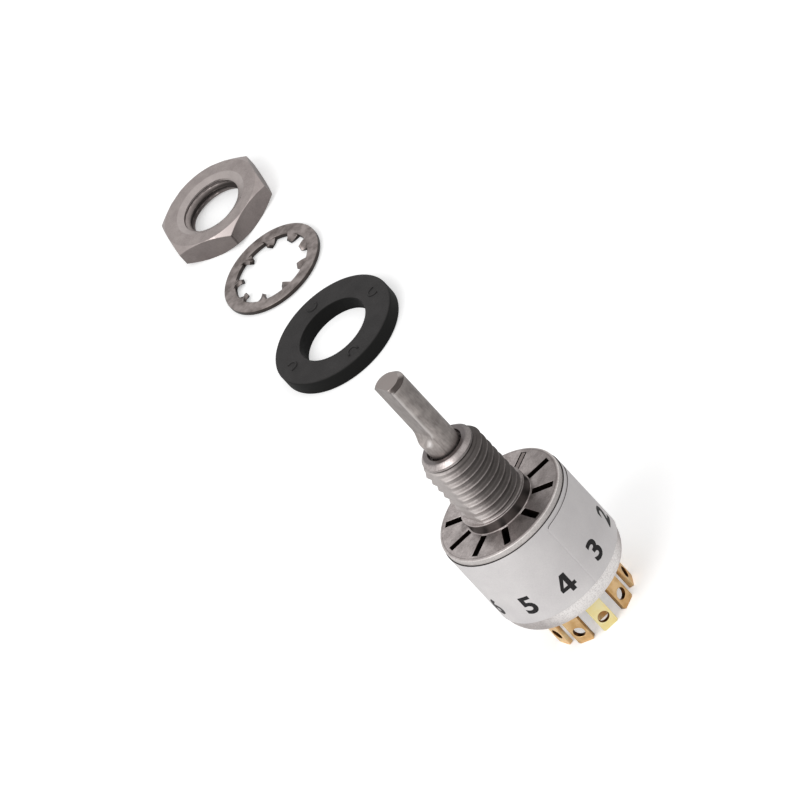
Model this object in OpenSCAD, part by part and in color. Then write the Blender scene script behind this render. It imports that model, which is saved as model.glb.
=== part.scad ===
// Miniature ten-position rotary switch with a threaded bushing and a D-shaft, its panel seal,
// lock washer and nut taken off and laid down in a row behind it.
// Frame: the origin is the centre of the mounting face, +Z runs along the shaft to its tip,
// and position 4 is on the -Y side. Millimetres.

/* [Case] */
// Outer diameter of the metal case under its label
case_d = 12.7; // [12.4:0.1:16]
// From the mounting face down to the end of the rolled edge
case_len = 10.65; // [10.6:0.05:14]
// Thickness of the front wall, which carries the slots
front_wall = 1.2; // [1:0.05:1.4]
// Thickness of the side wall round the contact chamber
side_wall = 0.75; // [0.65:0.05:0.85]
// Step inside the case that the detent ring seats on
shoulder_step = 0.15; // [0.1:0.05:0.2]
// Small bevel round the mounting face
edge_break = 0.12; // [0.05:0.01:0.3]
// Height of the lower edge that is rolled in over the base
roll_h = 1.7; // [1.4:0.1:2]
// How far the outside of the rolled edge leans in
roll_in = 0.63; // [0.4:0.05:0.8]
// How far the inside of the rolled edge leans in over the base
roll_grip = 0.4; // [0.2:0.05:0.5]

/* [Bushing] */
// Diameter of the plain collar at the foot of the bushing
collar_d = 6.74; // [6.5:0.02:7.2]
// Height of the collar above the mounting face
collar_h = 1.1; // [0.8:0.05:1.3]
// Major diameter of the bushing's thread
thread_d = 6.25; // [6:0.05:6.35]
// Thread pitch of the bushing and the nut
thread_pitch = 0.907; // [0.79:0.001:1]
// Height of the end of the thread above the mounting face
thread_top = 7.75; // [6:0.05:9]
// Diameter of the plain nose above the thread
nose_d = 5.3; // [5:0.1:5.5]
// Height of the nose
nose_h = 0.75; // [0.5:0.05:1.2]
// Bevel round the top of the nose
nose_bevel = 0.4; // [0.2:0.05:0.45]
// Diameter of the relief in the mouth of the bushing
mouth_d = 3.58; // [3.4:0.02:3.8]
// Depth of that relief
mouth_depth = 0.5; // [0.2:0.05:1]
// Depth of the thread's grooves, which the solid has as rings
thread_depth = 0.5; // [0.35:0.05:0.55]
// From the axis to the flat milled along the bushing
bushing_flat = 2.75; // [2.7:0.05:3]

/* [Shaft] */
// Diameter of the shaft
shaft_d = 3.175; // [3:0.025:3.3]
// Height of the shaft's tip above the mounting face
shaft_top = 17.35; // [16.1:0.05:24]
// Thickness of the shaft across its flat
shaft_across_flat = 2.35; // [2.2:0.05:2.6]
// Full-depth length of the flat, from the tip down
flat_len = 6.15; // [3:0.05:6.5]
// Radius of the cutter that leaves the scooped end of the flat
cutter_r = 1.28; // [0.9:0.02:1.6]
// Bevel round the tip
tip_bevel = 0.3; // [0.1:0.05:0.4]
// Thickness across the two flats that drive the rotor
drive_across = 2.4; // [2.2:0.05:2.7]

/* [Stop slots] */
// Width of each slot in the mounting face
slot_w = 0.7; // [0.6:0.02:0.8]
// From the collar to the inner end of the slots
slot_inset = 0.12; // [0.1:0.01:0.5]
// Metal left between the outer end of the slots and the side of the case
slot_edge = 0.55; // [0.45:0.05:0.7]
// Thickness of the stop blade that stands in one slot
blade_t = 0.44; // [0.3:0.02:0.5]
// How far the stop blade reaches down beside the rotor's lug
blade_bite = 0.5; // [0.3:0.05:0.6]
// Height of the rotor's stop lug
lug_h = 1; // [0.8:0.05:1.1]

/* [Detent] */
// Diameter of the detent balls
ball_d = 1.2; // [1:0.05:1.3]
// How far a ball moves out from a crest into a notch
ball_travel = 0.2; // [0.1:0.02:0.3]
// Wall of the detent ring behind its crests
detent_wall = 0.65; // [0.5:0.05:0.8]
// Height of the detent ring
detent_h = 1.75; // [1.6:0.05:1.85]
// Height of the rotor hub
hub_h = 2.9; // [2.8:0.05:3.1]

/* [Contacts] */
// Thickness of the moulded base that carries the terminals
base_h = 2.3; // [2:0.05:2.5]
// Radius of the circle that the terminals stand on
contact_r = 4.05; // [3.9:0.05:4.15]
// From the axis to the common terminal, which stands on the side of position 4
common_out = 2.2; // [1.9:0.05:2.3]
// Width of each solder lug
lug_w = 1.65; // [1.4:0.05:1.8]
// Thickness of the lug metal
lug_t = 0.45; // [0.3:0.05:0.6]
// Length of the lugs below the base
lug_len = 4.3; // [3.5:0.05:7]
// Corner cut at the end of each lug
lug_bevel = 0.16; // [0.1:0.02:0.5]
// Diameter of the solder hole
solder_hole_d = 1.1; // [0.7:0.05:1.2]
// From the end of a lug to the centre of its solder hole
solder_hole_up = 1.3; // [1.2:0.05:2]
// Height of the contact pads above the base
pad_h = 0.3; // [0.2:0.02:0.4]
// Thickness of the wiper
wiper_t = 0.3; // [0.2:0.02:0.35]

/* [Label] */
// Thickness of the wrapped label
label_t = 0.08; // [0.05:0.01:0.12]
// From the mounting face down to the label
label_drop = 0.68; // [0.4:0.02:1]
// Bare metal between the label and the rolled edge
label_foot = 0.12; // [0.05:0.01:0.5]
// Arc over which the end of the label laps its start
lap_arc = 75; // [20:5:120]
// Angle from position 4 to the edge of the lapping end
lap_start = 14; // [0:1:17]
// How much lower the top of the lapping end lies
lap_drop = 0.5; // [0.2:0.05:0.8]

/* [Panel hardware] */
// Outer diameter of the rubber seal
seal_d = 12.6; // [10:0.1:14]
// Thickness of the seal
seal_t = 1.5; // [1:0.1:2.5]
// Outer diameter of the lock washer
washer_d = 10.3; // [9:0.1:11]
// Radial width of the washer's plain rim
washer_rim = 1.2; // [0.8:0.05:1.3]
// Thickness of the washer
washer_t = 0.45; // [0.3:0.05:0.6]
// Number of teeth inside the washer
washer_teeth = 9; // [7:1:10]
// Width of each tooth
tooth_w = 1; // [0.6:0.05:1.1]
// Twist of each tooth out of the washer's plane
tooth_twist = 20; // [10:1:30]
// Size of the nut across its flats
nut_af = 10; // [9:0.1:11]
// Thickness of the nut
nut_t = 2.2; // [1.6:0.05:2.8]
// Clear floor between the case and the seal
seal_away = 46.9; // [10:0.05:60]
// Clear floor between the seal and the lock washer
washer_away = 4.4; // [1:0.05:10]
// Clear floor between the lock washer and the nut
nut_away = 1.55; // [0.3:0.05:10]

/* [Hidden] */
positions = 10;
$fn = 96;
// How far a cutting shape runs past what it cuts
PAST = 1;

// Clearances: a push fit, a fit that slides or turns, and the gap between loose neighbours
push_gap = 0.02;
run_gap = 0.05;
loose_gap = 0.3;

// Angles. Position n is at POSITION_4 for n = 4, and the numbers rise clockwise from the tip.
pitch = 360 / positions;
POSITION_4 = -90;
function position_angle(n) = POSITION_4 + (4 - n) * pitch;
rotor_angle = position_angle(1);
stop_angle = position_angle(1) + pitch / 2;
flat_angle = position_angle(6);

// Case
case_r = case_d / 2;
chamber_r = case_r - side_wall;
shoulder_r = chamber_r - shoulder_step;
roll_top = -(case_len - roll_h);
label_low = roll_top + label_foot;

// Bushing and shaft
shaft_r = shaft_d / 2;
bore_r = shaft_r + run_gap;
nose_top = thread_top + nose_h;
thread_angle = 60;
flat_depth = shaft_across_flat - shaft_r;
flat_bottom = shaft_top - flat_len;

// Stack of the rotor, from the front wall down
thrust_t = 0.25;
clip_t = 0.4;
thrust_top = -front_wall - run_gap;
clip_top = thrust_top - thrust_t;
hub_top = clip_top - clip_t;
hub_bottom = hub_top - hub_h;
clip_bite = 0.4;
clip_reach = 0.95;
groove_r = shaft_r - clip_bite;
clip_r = shaft_r + clip_reach;
clip_mouth = 1.78;

// Stops
slot_r1 = collar_d / 2 + slot_inset;
slot_r2 = case_r - slot_edge;
slot_depth = blade_bite - hub_top;
blade_gap = 0.05;
lug_root_r = slot_r1 - 3 * loose_gap;
lug_tip_gap = 0.12;
lug_tip_r = shoulder_r - lug_tip_gap;
lug_half_angle = pitch / 2 - asin((blade_t / 2 + run_gap) / slot_r1);

// Detent
detent_top = hub_top - lug_h - 2 * run_gap;
detent_bottom = detent_top - detent_h;
detent_r = chamber_r - 2 * push_gap;
crest_r = detent_r - detent_wall;
notch_r = 1.1;
ball_r = ball_d / 2;
ball_seat_r = crest_r - run_gap - ball_r;
ball_z = (detent_top + detent_bottom) / 2;
hub_r = crest_r - 2 * loose_gap;
pocket_r = ball_r + push_gap;
pocket_wall = 0.45;
pocket_floor = shaft_r + pocket_wall;
detent_wire = 0.16;
detent_turns = 5;

// Base and contacts
base_bottom = -(case_len - loose_gap);
base_top = base_bottom + base_h;
pad_top = base_top + pad_h;
pad_r = 0.65;
stem_w = 1;
common_wall = 0.35;
common_r = common_out + lug_t / 2 + common_wall;
floor_z = base_bottom - lug_len;
wiper_bottom = pad_top + run_gap / 2;
wiper_top = wiper_bottom + wiper_t;
wiper_w = 1.2;
wiper_hub_r = 1.6;
wiper_spring_d = 1.6;
wiper_wire = 0.2;
wiper_turns = 3;
channel_top = wiper_top + loose_gap;
carrier_bottom = wiper_bottom + wiper_t / 2;
sleeve_wall = 0.55;
sleeve_in_r = detent_r - sleeve_wall;
carrier_r = sleeve_in_r - loose_gap;
wiper_room = 1.225;
pocket_top = wiper_top + wiper_room;
shaft_bottom = pocket_top + loose_gap;

// Shaft seal
seal_wire = 0.4;
seal_groove_z = 3;

// Panel hardware, which all fits over the bushing
seal_slack = 0.2;
seal_hole_r = collar_d / 2 + seal_slack;
seal_round = 0.15;
tooth_slack = 0.075;
tooth_tip_r = thread_d / 2 + tooth_slack;
tooth_rise = (tooth_w * sin(tooth_twist) + washer_t * cos(tooth_twist) - washer_t) / 2;
thread_bite = 0.41 * thread_pitch;
nut_bore_r = thread_d / 2 - thread_bite;
sink_past = 0.6;
nut_sink_r = thread_d / 2 + sink_past;
nut_corner_r = nut_af / 2 / cos(30);
nut_face_past = 0.1;
nut_bevel_angle = 25;

// Where it lies: in a row along +Y, each piece a little off line and turned as it fell
seal_xy = [-0.26, case_r + seal_away + seal_d / 2];
washer_xy = [-0.54, seal_xy[1] + seal_d / 2 + washer_away + washer_d / 2];
nut_xy = [-0.58, washer_xy[1] + washer_d / 2 + nut_away + nut_corner_r];
washer_turn = -13;
nut_turn = -96.4;

// The points of a curve that leaves the vertical at (r, z) and leans in by lean over height h
function lean_in(r, z, lean, h, steps = 8) =
    let (R = (h * h + lean * lean) / (2 * lean), sweep = asin(h / R))
    [for (i = [0:steps]) [r - R + R * cos(sweep * i / steps), z - R * sin(sweep * i / steps)]];

function reversed(list) = [for (i = [len(list) - 1:-1:0]) list[i]];

// The space beyond a plane that stands at distance d from the axis and faces angle a
module beyond(a, d, z1, z2, reach = 20) {
    rotate([0, 0, a]) translate([d, -reach / 2, z1]) cube([reach, reach, z2 - z1]);
}

// A round bar with two flats, as it drives the rotor
module drive_bar(r, across, z1, z2) {
    translate([0, 0, z1]) linear_extrude(z2 - z1) intersection() {
        circle(r);
        rotate(flat_angle) square([across, 4 * r], center = true);
    }
}

// A ring about the axis
module ring(r1, r2, z1, z2) {
    translate([0, 0, z1]) difference() {
        cylinder(r = r2, h = z2 - z1);
        translate([0, 0, -PAST]) cylinder(r = r1, h = z2 - z1 + 2 * PAST);
    }
}

// A compression spring along +Z from z = 0
module coil(coil_d, wire_d, length, turns) {
    sides = 8;
    per_turn = 16;
    steps = turns * per_turn;
    mean_r = (coil_d - wire_d) / 2;
    rise = (length - wire_d) / steps;
    points = [
        for (i = [0:steps]) for (j = [0:sides - 1])
            let (t = 360 * i / per_turn, a = 360 * j / sides, r = mean_r + wire_d / 2 * cos(a))
            [r * cos(t), r * sin(t), wire_d / 2 + rise * i + wire_d / 2 * sin(a)]
    ];
    walls = [
        for (i = [0:steps - 1]) for (j = [0:sides - 1])
            let (a = i * sides + j, b = i * sides + (j + 1) % sides)
            [a, b, b + sides, a + sides]
    ];
    start_cap = [for (j = [sides - 1:-1:0]) j];
    end_cap = [for (j = [0:sides - 1]) steps * sides + j];
    polyhedron(points, concat([start_cap], walls, [end_cap]), convexity = 10);
}

// The outline of the thread's grooves, from the top down: a crest, a slope in, a root, a slope out
function thread_grooves() =
    let (crest = thread_pitch / 8, slope = thread_depth * tan(thread_angle / 2),
         count = floor((thread_top - collar_h - crest) / thread_pitch))
    [for (i = [0:count - 1])
        let (z = thread_top - crest - i * thread_pitch,
             end = z - thread_pitch + crest)
        each [[thread_d / 2, z], [thread_d / 2 - thread_depth, z - slope],
              [thread_d / 2 - thread_depth, end + slope], [thread_d / 2, end]]];

// The metal case with its collar and bushing, turned from one piece
module housing() {
    outline = concat(
        [[bore_r, -front_wall], [bore_r, nose_top - mouth_depth],
         [mouth_d / 2, nose_top - mouth_depth], [mouth_d / 2, nose_top],
         [nose_d / 2 - nose_bevel, nose_top], [nose_d / 2, nose_top - nose_bevel],
         [nose_d / 2, thread_top], [thread_d / 2, thread_top]],
        thread_grooves(),
        [[thread_d / 2, collar_h], [collar_d / 2, collar_h], [collar_d / 2, 0],
         [case_r - edge_break, 0], [case_r, -edge_break]],
        lean_in(case_r, roll_top, roll_in, roll_h),
        reversed(lean_in(chamber_r, roll_top, roll_grip, roll_h)),
        [[chamber_r, detent_top], [shoulder_r, detent_top], [shoulder_r, -front_wall]]
    );
    color("#a69e9c") difference() {
        rotate_extrude() polygon(outline);
        beyond(flat_angle, bushing_flat, collar_h, thread_top);
        for (i = [0:positions - 1]) stop_slot(stop_angle + i * pitch);
    }
}

// One slot in the mounting face, which reaches into the side wall below it
module stop_slot(a) {
    rotate([0, 0, a]) translate([slot_r1, -slot_w / 2, -slot_depth])
        cube([slot_r2 - slot_r1, slot_w, slot_depth + PAST]);
}

// The printed label: one turn, with its end lapped over its start
module label_wrap() {
    under_r = case_r + push_gap;
    color("#cfcdcf") union() {
        ring(under_r, under_r + label_t, label_low, -label_drop);
        rotate([0, 0, position_angle(4) + lap_start]) rotate_extrude(angle = lap_arc)
            translate([under_r + label_t / 2, label_low])
            square([1.5 * label_t, -label_drop - lap_drop - label_low]);
    }
}

// The plate that stops the rotor between the last position and the first
module stop_blade() {
    color("#8d8683") rotate([0, 0, stop_angle])
        translate([slot_r1 + blade_gap, -blade_t / 2, -slot_depth + push_gap])
        cube([slot_r2 - slot_r1 - 2 * blade_gap, blade_t, slot_depth - run_gap]);
}

// The ring of notches that the two balls click into
module detent_ring() {
    color("#c9c4bd") difference() {
        ring(crest_r, detent_r, detent_bottom, detent_top);
        for (i = [0:positions - 1]) rotate([0, 0, rotor_angle + 90 + i * pitch])
            translate([crest_r + ball_travel - notch_r, 0, detent_bottom - PAST])
            cylinder(r = notch_r, h = detent_h + 2 * PAST);
    }
}

// The insulating sleeve between the detent ring and the base
module spacer_sleeve() {
    color("#4a3b2c") ring(sleeve_in_r, detent_r, base_top, detent_bottom);
}

// The moulded base: it closes the case, and its slots hold the eleven terminals
module terminal_base() {
    edge = [for (p = lean_in(chamber_r, roll_top, roll_grip, roll_h)) [p[0] - 2 * push_gap, p[1]]];
    color("#33302e") difference() {
        intersection() {
            rotate_extrude() polygon(concat([[0, base_top], [detent_r, base_top]], edge,
                                            [[0, -case_len]]));
            translate([0, 0, base_bottom]) cylinder(r = case_r, h = base_h + PAST);
        }
        for (n = [1:positions]) at_position(n) stem(push_gap, base_bottom - PAST, base_top + PAST);
        at_common() stem(push_gap, base_bottom - PAST, base_top + PAST);
    }
}

// Carries a shape made on the axis out to a terminal's place, facing outwards
module at_position(n) {
    rotate([0, 0, position_angle(n) + 90]) translate([0, -contact_r, 0]) children();
}

// Carries a shape made on the axis out to the common terminal's place
module at_common() {
    translate([0, -common_out, 0]) children();
}

// The part of a terminal that passes through the base
module stem(gap, z1, z2) {
    translate([-stem_w / 2 - gap, -lug_t / 2 - gap, z1])
        cube([stem_w + 2 * gap, lug_t + 2 * gap, z2 - z1]);
}

// The flat lug below the base, with its two cut corners and its solder hole
module solder_lug() {
    half = lug_w / 2;
    tip = floor_z;
    translate([0, lug_t / 2, 0]) rotate([90, 0, 0]) linear_extrude(lug_t) difference() {
        polygon([[-half, base_bottom], [half, base_bottom], [half, tip + lug_bevel],
                 [half - lug_bevel, tip], [-half + lug_bevel, tip], [-half, tip + lug_bevel]]);
        translate([0, tip + solder_hole_up]) circle(d = solder_hole_d);
    }
}

// One of the ten position terminals, from its contact pad to its solder lug
module terminal(n) {
    color("#d9b65a") at_position(n) union() {
        solder_lug();
        stem(0, base_bottom, base_top);
        translate([0, 0, base_top]) cylinder(r = pad_r, h = pad_h);
    }
}

// The terminal of the common contact, which stands inside the circle of the others
module common_terminal() {
    color("#d9b65a") at_common() union() {
        solder_lug();
        stem(0, base_bottom, pad_top);
    }
}

// The round contact on the base that the wiper's hub presses on
module common_contact() {
    color("#e0c063") difference() {
        translate([0, 0, base_top]) cylinder(r = common_r, h = pad_h);
        at_common() stem(push_gap, base_top - PAST, pad_top + PAST);
    }
}

// The D-shaft, with its seal groove, its clip groove and the flats that drive the rotor
module shaft() {
    seal_r = shaft_r - seal_wire + push_gap;
    color("#8a8481") difference() {
        union() {
            drive_bar(shaft_r, drive_across, shaft_bottom, hub_top);
            translate([0, 0, hub_top]) cylinder(r = groove_r, h = clip_t);
            translate([0, 0, clip_top]) cylinder(r = shaft_r, h = shaft_top - tip_bevel - clip_top);
            translate([0, 0, shaft_top - tip_bevel])
                cylinder(r1 = shaft_r, r2 = shaft_r - tip_bevel, h = tip_bevel);
        }
        beyond(flat_angle, flat_depth, flat_bottom, shaft_top + PAST);
        rotate([0, 0, flat_angle]) translate([flat_depth + cutter_r, 0, flat_bottom])
            rotate([90, 0, 0]) cylinder(r = cutter_r, h = 2 * shaft_d, center = true);
        ring(seal_r, shaft_r + PAST, seal_groove_z, seal_groove_z + seal_wire + 2 * push_gap);
    }
}

// The rubber ring that seals the shaft in the bushing
module shaft_seal() {
    color("#1c1b1a") translate([0, 0, seal_groove_z + seal_wire / 2 + push_gap])
        rotate_extrude() translate([shaft_r - seal_wire / 2 + 1.5 * push_gap, 0])
        circle(d = seal_wire - push_gap);
}

// The washer that the rotor thrusts on behind the front wall
module thrust_washer() {
    color("#b9b3a8") ring(bore_r, clip_r + loose_gap, clip_top, thrust_top);
}

// The open ring that holds the shaft in the case
module retaining_ring() {
    color("#7c7873") difference() {
        ring(groove_r + push_gap, clip_r, hub_top, clip_top);
        rotate([0, 0, flat_angle]) translate([0, -clip_mouth / 2, hub_top - PAST])
            cube([2 * clip_r, clip_mouth, clip_t + 2 * PAST]);
    }
}

// The moulded rotor: a stop lug at the top and two pockets for the detent springs and balls
module rotor_hub() {
    color("#57504a") difference() {
        union() {
            translate([0, 0, hub_top - lug_h]) {
                cylinder(r = lug_root_r, h = lug_h);
                rotate([0, 0, rotor_angle - lug_half_angle])
                    rotate_extrude(angle = 2 * lug_half_angle) square([lug_tip_r, lug_h]);
            }
            translate([0, 0, hub_bottom]) cylinder(r = hub_r, h = hub_h - lug_h);
        }
        drive_bar(shaft_r + push_gap, drive_across + 2 * push_gap,
                  hub_bottom - PAST, hub_top + PAST);
        for (n = [1:2]) in_pocket(n, pocket_floor) cylinder(r = pocket_r, h = hub_r);
    }
}

// Carries a shape made along +Z out to a detent pocket, at distance r from the axis
module in_pocket(n, r) {
    rotate([0, 0, rotor_angle + (n == 1 ? 90 : -90)]) translate([r, 0, ball_z])
        rotate([0, 90, 0]) children();
}

// One of the two springs that push the balls out
module detent_spring(n) {
    color("#b8b4ae") in_pocket(n, pocket_floor + push_gap)
        coil(ball_d - 2 * run_gap, detent_wire,
             ball_seat_r - ball_r - pocket_floor - 2 * push_gap, detent_turns);
}

// One of the two balls, drawn as it rides over a crest
module detent_ball(n) {
    color("#d6d3ce") in_pocket(n, ball_seat_r) sphere(r = ball_r);
}

// The insulating carrier that turns the wiper
module contact_carrier() {
    color("#6e3f27") difference() {
        translate([0, 0, carrier_bottom]) cylinder(r = carrier_r, h = hub_bottom - carrier_bottom);
        drive_bar(shaft_r + push_gap, drive_across + 2 * push_gap,
                  shaft_bottom - push_gap, hub_bottom + PAST);
        translate([0, 0, carrier_bottom - PAST])
            wiper_outline(run_gap, channel_top - carrier_bottom + PAST);
        translate([0, 0, carrier_bottom - PAST])
            cylinder(d = wiper_spring_d + loose_gap, h = pocket_top - carrier_bottom + PAST);
    }
}

// The plan of the wiper: a round hub and one arm that ends over the contact pads
module wiper_outline(gap, height) {
    rotate([0, 0, rotor_angle]) linear_extrude(height) union() {
        circle(r = wiper_hub_r + gap);
        translate([0, -wiper_w / 2 - gap]) square([contact_r, wiper_w + 2 * gap]);
        translate([contact_r, 0]) circle(r = wiper_w / 2 + gap);
    }
}

// The spring contact that joins the common contact to one pad
module wiper() {
    color("#cfa94f") translate([0, 0, wiper_bottom]) wiper_outline(0, wiper_t);
}

// The spring that presses the wiper down
module wiper_spring() {
    color("#b8b4ae") translate([0, 0, wiper_top + push_gap])
        coil(wiper_spring_d, wiper_wire, pocket_top - wiper_top - 2 * push_gap, wiper_turns);
}

// The rubber seal that goes between the switch and its panel
module panel_seal() {
    r1 = seal_hole_r;
    r2 = seal_d / 2;
    e = seal_round;
    color("#2c2b2b") translate(concat(seal_xy, floor_z)) rotate_extrude()
        polygon([[r1, 0], [r2 - e, 0], [r2, e], [r2, seal_t - e], [r2 - e, seal_t],
                 [r1 + e / 2, seal_t], [r1, seal_t - e / 2]]);
}

// The internal-tooth lock washer, which rests on the lower edges of its twisted teeth
module lock_washer() {
    rim_r = washer_d / 2 - washer_rim;
    color("#8f8783") translate(concat(washer_xy, floor_z + tooth_rise + washer_t / 2)) {
        ring(rim_r, washer_d / 2, -washer_t / 2, washer_t / 2);
        for (i = [0:washer_teeth - 1]) rotate([0, 0, i * 360 / washer_teeth + washer_turn])
            rotate([tooth_twist, 0, 0]) translate([tooth_tip_r, -tooth_w / 2, -washer_t / 2])
            cube([rim_r + loose_gap - tooth_tip_r, tooth_w, washer_t]);
    }
}

// The hexagon nut, bevelled at its corners and countersunk on both faces
module mounting_nut() {
    sink = (nut_sink_r - nut_bore_r) / 2;
    face_r = nut_af / 2 + nut_face_past;
    out_r = nut_corner_r + PAST;
    drop = (out_r - face_r) * tan(nut_bevel_angle);
    color("#958c89") translate(concat(nut_xy, floor_z)) difference() {
        intersection() {
            rotate([0, 0, nut_turn]) cylinder(r = nut_corner_r, h = nut_t, $fn = 6);
            rotate_extrude() polygon([[0, 0], [face_r, 0], [out_r, drop], [out_r, nut_t - drop],
                                      [face_r, nut_t], [0, nut_t]]);
        }
        rotate_extrude() polygon([[0, -PAST], [nut_sink_r, -PAST], [nut_sink_r, 0],
                                  [nut_bore_r, sink], [nut_bore_r, nut_t - sink],
                                  [nut_sink_r, nut_t], [nut_sink_r, nut_t + PAST],
                                  [0, nut_t + PAST]]);
    }
}

housing();
label_wrap();
stop_blade();
detent_ring();
spacer_sleeve();
terminal_base();
for (n = [1:positions])
    terminal(n);
common_terminal();
common_contact();
shaft();
shaft_seal();
thrust_washer();
retaining_ring();
rotor_hub();
contact_carrier();
wiper();
wiper_spring();
for (n = [1:2])
    detent_spring(n);
for (n = [1:2])
    detent_ball(n);
panel_seal();
lock_washer();
mounting_nut();
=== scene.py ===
"""Miniature rotary switch with its panel hardware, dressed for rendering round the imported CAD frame."""
import math

import bmesh
import bpy
import numpy as np
from mathutils import Matrix, Vector


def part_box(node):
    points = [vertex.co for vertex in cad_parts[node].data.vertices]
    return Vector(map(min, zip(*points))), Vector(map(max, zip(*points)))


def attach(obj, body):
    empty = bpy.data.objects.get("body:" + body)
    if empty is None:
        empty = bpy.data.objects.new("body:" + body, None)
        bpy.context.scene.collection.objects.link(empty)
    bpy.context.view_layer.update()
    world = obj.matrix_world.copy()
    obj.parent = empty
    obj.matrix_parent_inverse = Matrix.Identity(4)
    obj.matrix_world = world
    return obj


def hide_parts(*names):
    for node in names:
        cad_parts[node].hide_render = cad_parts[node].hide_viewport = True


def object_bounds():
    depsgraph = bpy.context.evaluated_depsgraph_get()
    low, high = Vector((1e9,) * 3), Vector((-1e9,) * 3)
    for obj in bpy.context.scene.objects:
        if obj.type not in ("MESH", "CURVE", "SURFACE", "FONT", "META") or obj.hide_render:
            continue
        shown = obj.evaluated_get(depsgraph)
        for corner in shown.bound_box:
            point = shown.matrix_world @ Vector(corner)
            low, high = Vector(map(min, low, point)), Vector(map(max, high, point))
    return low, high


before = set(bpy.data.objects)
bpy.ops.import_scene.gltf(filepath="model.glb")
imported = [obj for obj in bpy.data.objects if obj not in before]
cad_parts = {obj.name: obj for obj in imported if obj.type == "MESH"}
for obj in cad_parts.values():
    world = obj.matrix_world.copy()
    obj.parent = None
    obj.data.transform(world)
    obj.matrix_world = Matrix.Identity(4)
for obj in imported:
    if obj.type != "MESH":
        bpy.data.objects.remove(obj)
cad_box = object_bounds()

# ---------------------------------------------------------------------------------------------
# Camera: looks from the side of position 4, well above it, through a long lens. It is rolled so
# that the shaft points up and to the left and the loose hardware runs on along the same line.
# Lengths here are in metres.
view_elevation = math.radians(33.0)
view_roll = math.radians(42.9)
view_distance = 2.5
view_width = 0.07026
face_from_middle = (0.00864, -0.00908)
farthest_seen = 20


def placed(name, data):
    """A new object in the scene, for that mesh, curve, lamp or camera."""
    thing = bpy.data.objects.new(name, data)
    bpy.context.scene.collection.objects.link(thing)
    return thing


level = Vector((1, 0, 0))
rise = Vector((0, math.sin(view_elevation), math.cos(view_elevation)))
to_camera = Vector((0, -math.cos(view_elevation), math.sin(view_elevation)))
camera_right = level * math.cos(view_roll) - rise * math.sin(view_roll)
camera_up = level * math.sin(view_roll) + rise * math.cos(view_roll)
middle = -camera_right * face_from_middle[0] - camera_up * face_from_middle[1]

lens = bpy.data.cameras.new("camera")
lens.sensor_width = 36
lens.lens = lens.sensor_width * view_distance / view_width
lens.clip_end = farthest_seen
camera = placed("camera", lens)
axes = Matrix((camera_right, camera_up, to_camera)).transposed()
camera.matrix_world = Matrix.Translation(middle + to_camera * view_distance) @ axes.to_4x4()
bpy.context.scene.camera = camera
bpy.context.scene.view_settings.view_transform = "Standard"


# ---------------------------------------------------------------------------------------------
# Floor and light: a white table top under a white studio, with a large soft lamp high on the
# left and a weaker one on the right. The floor keeps the shadows and is lifted for the eye alone.
# What metal mirrors is white too, but for a floor that greys toward +X.
def linear(colour):
    """An sRGB hex colour as the linear RGBA that the shaders take."""
    parts = [int(colour[i:i + 2], 16) / 255 for i in (1, 3, 5)]
    return [p / 12.92 if p <= 0.04045 else ((p + 0.055) / 1.055) ** 2.4 for p in parts] + [1.0]


def add(tree, kind, inputs=None, **settings):
    """Adds a node with its settings. Each input is given a value, or a socket to link it to."""
    node = tree.nodes.new(kind)
    for name, value in settings.items():
        setattr(node, name, value)
    for name, value in (inputs or {}).items():
        if isinstance(value, bpy.types.NodeSocket):
            tree.links.new(value, node.inputs[name])
        else:
            node.inputs[name].default_value = value
    return node


def empty_tree(owner):
    """The owner's node tree with nothing in it."""
    owner.use_nodes = True
    owner.node_tree.nodes.clear()
    return owner.node_tree


def graded(tree, value, start, end, low=0.0, high=1.0):
    """A number that goes from low to high as a value goes from start to end, and no further."""
    given = {0: value, 1: start, 2: end, 3: low, 4: high}
    return add(tree, "ShaderNodeMapRange", given).outputs[0]


def product(tree, value, *factors):
    """A value multiplied by these."""
    for factor in factors:
        value = add(tree, "ShaderNodeMath", {0: value, 1: factor}, operation="MULTIPLY").outputs[0]
    return value


studio_glow, seen_glow = 0.55, 1.0
sky = empty_tree(bpy.data.worlds.new("studio"))
ray = add(sky, "ShaderNodeLightPath").outputs
seen = ray["Is Camera Ray"]
for kind in ("Is Glossy Ray", "Is Transmission Ray"):
    seen = add(sky, "ShaderNodeMath", {0: seen, 1: ray[kind]}, operation="MAXIMUM").outputs[0]
strength = graded(sky, seen, 0, 1, studio_glow, seen_glow)
glow = add(sky, "ShaderNodeBackground", {"Color": linear("#FFFFFF"), "Strength": strength})
add(sky, "ShaderNodeOutputWorld", {"Surface": glow.outputs[0]})
bpy.context.scene.world = bpy.data.worlds["studio"]


def softbox(name, azimuth, elevation, distance, size, share):
    """A square lamp that looks at the switch. Its share is of the light that white needs."""
    lamp = bpy.data.lights.new(name, "AREA")
    lamp.size = size
    lamp.energy = share * (math.pi * distance) ** 2
    a, e = math.radians(azimuth), math.radians(elevation)
    out = Vector((math.cos(e) * math.sin(a), -math.cos(e) * math.cos(a), math.sin(e)))
    aim = out.to_track_quat("Z", "Y").to_matrix().to_4x4()
    placed(name, lamp).matrix_world = Matrix.Translation(out * distance) @ aim


softbox("key_lamp", -50, 45, 0.7, 0.45, 0.42)
softbox("fill_lamp", 60, 30, 0.8, 0.5, 0.1)

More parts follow.
